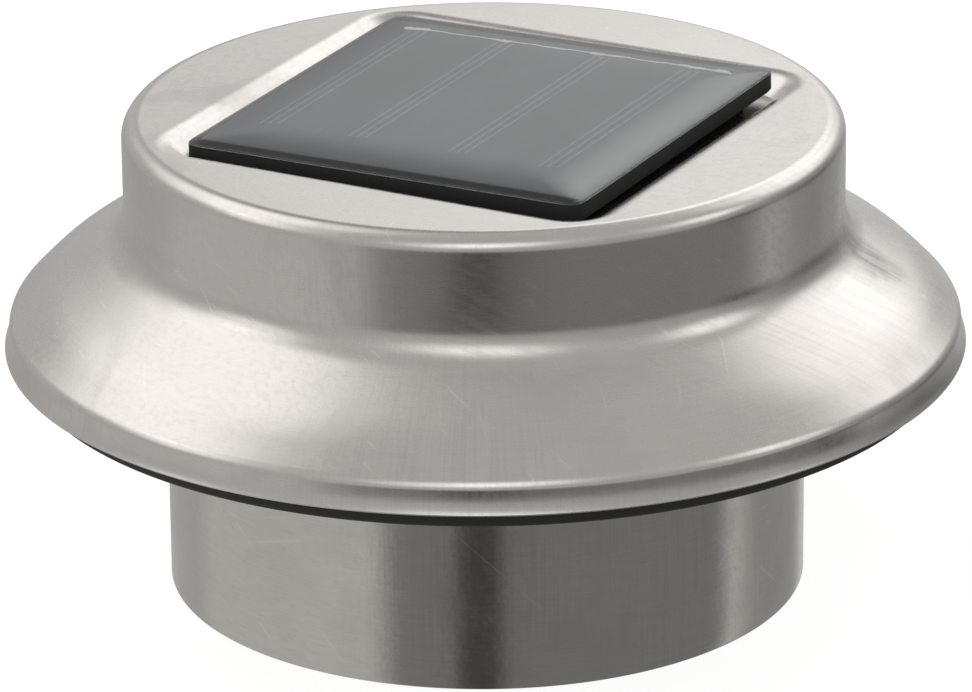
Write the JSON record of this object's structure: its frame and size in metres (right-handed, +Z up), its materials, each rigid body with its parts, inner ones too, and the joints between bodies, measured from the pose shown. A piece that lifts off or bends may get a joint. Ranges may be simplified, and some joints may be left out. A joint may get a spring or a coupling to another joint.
{
  "type": "fence light",
  "caption": "Round solar fence light: brushed stainless hat with a solar panel, black base plate, plain steel sleeve, and a screw clamp behind it.",
  "frame": {"origin": "on the lamp's axis in the plane of the sleeve's lower edge, on which the lamp stands", "axes": "+Z up along the lamp's axis, +X along the solar panel's front edge, +Y towards the fence clamp"},
  "size_m": [0.125, 0.1504, 0.0644],
  "materials": {
    "brushed_stainless": "brushed round the axis, satin",
    "sleeve_stainless": "brushed round the axis, satin",
    "bracket_stainless": "brushed along the strip",
    "panel_black": "matt, slightly rough cut edge",
    "solar_cell": "dark blue-grey cells with fine silver lines",
    "tinned_ribbon": "dull tinned, broken shine",
    "clear_resin": "clear poured resin, glossy",
    "black_foam": "matt foam",
    "black_rubber": "matt rubber",
    "black_plastic": "fine grained moulding",
    "cover_plastic": "fine grained moulding",
    "knob_plastic": "moulded, slight sheen",
    "grey_sealant": "smooth silicone",
    "zinc_screw": "zinc plated, satin",
    "bracket_screw": "stainless, satin",
    "zinc_nut": "zinc plated, satin",
    "zinc_rod": "zinc plated thread",
    "pad_zinc": "zinc plated, satin",
    "clear_lens": "clear moulded lens",
    "clear_led": "clear epoxy dome",
    "bright_reflector": "bright metallised plastic",
    "board_green": "solder mask over copper",
    "ferrite": "dark ferrite with a wound waist",
    "capacitor_can": "sleeved can",
    "chip_black": "moulded chip",
    "switch_plastic": "moulded",
    "slider_plastic": "pale grey moulded",
    "battery_sleeve": "plain shrink sleeve, bare steel ends",
    "contact_metal": "nickel plated spring steel",
    "wire_red": "insulated wire",
    "wire_black": "insulated wire",
    "wire_white": "insulated wire"
  },
  "bodies": {
    "lamp_body": {"hat_shell": "brushed_stainless", "solar_backing": "panel_black", "solar_cells": "solar_cell", "cell_ribbon": "tinned_ribbon", "resin_cover": "clear_resin", "panel_pad": "black_foam", "lead_grommet": "black_rubber", "inner_housing": "black_plastic", "bond_ring": "grey_sealant", "housing_gasket": "black_rubber", "housing_screws": "zinc_screw", "base_plate": "black_plastic", "sleeve": "sleeve_stainless", "sleeve_screws": "zinc_screw", "lens": "clear_lens", "lens_gasket": "black_rubber", "reflector": "bright_reflector", "leds": "clear_led", "circuit_board": "board_green", "board_screws": "zinc_screw", "inductor": "ferrite", "capacitor": "capacitor_can", "driver_chip": "chip_black", "switch_body": "switch_plastic", "switch_screws": "zinc_screw", "switch_leads": "wire_white", "battery_tray": "black_plastic", "contact_plates": "contact_metal", "contact_spring": "contact_metal", "solar_lead_red": "wire_red", "solar_lead_black": "wire_black", "battery_lead_red": "wire_red", "battery_lead_black": "wire_black", "mount_bracket": "bracket_stainless", "bracket_screws": "bracket_screw", "grip_pad": "black_rubber", "clamp_nut": "zinc_nut"},
    "switch_slider": {"switch_slider": "slider_plastic"},
    "battery_cover": {"battery_cover": "cover_plastic", "cover_screws": "zinc_screw"},
    "battery_cell": {"battery_cell": "battery_sleeve"},
    "clamp_pad": {"pressure_pad": "pad_zinc", "pad_face": "black_rubber"},
    "clamp_spindle": {"clamp_screw": "zinc_rod", "clamp_knob": "knob_plastic"}
  },
  "joints": [
    {"name": "switch_slide", "type": "slide", "parent": "lamp_body", "child": "switch_slider", "axis": [1, 0, 0], "range_m": [0, 0.003]},
    {"name": "cover_pull", "type": "slide", "parent": "lamp_body", "child": "battery_cover", "axis": [0, 0, -1], "range_m": [0, 0.04]},
    {"name": "cell_pull", "type": "slide", "parent": "lamp_body", "child": "battery_cell", "axis": [0, 0, -1], "range_m": [0, 0.025]},
    {"name": "clamp_travel", "type": "slide", "parent": "lamp_body", "child": "clamp_pad", "axis": [0, 1, 0], "range_m": [0, 0.016]},
    {"name": "clamp_turn", "type": "hinge", "parent": "clamp_pad", "child": "clamp_spindle", "pos_m": [0, 0.0569, 0.0096], "axis": [0, 1, 0], "range_deg": [0, 7200]}
  ],
  "couplings": [
    {"joint": "cell_pull", "follows": "cover_pull", "ratio": 0.6},
    {"joint": "clamp_turn", "follows": "clamp_travel", "rad_per_m": 7854}
  ]
}
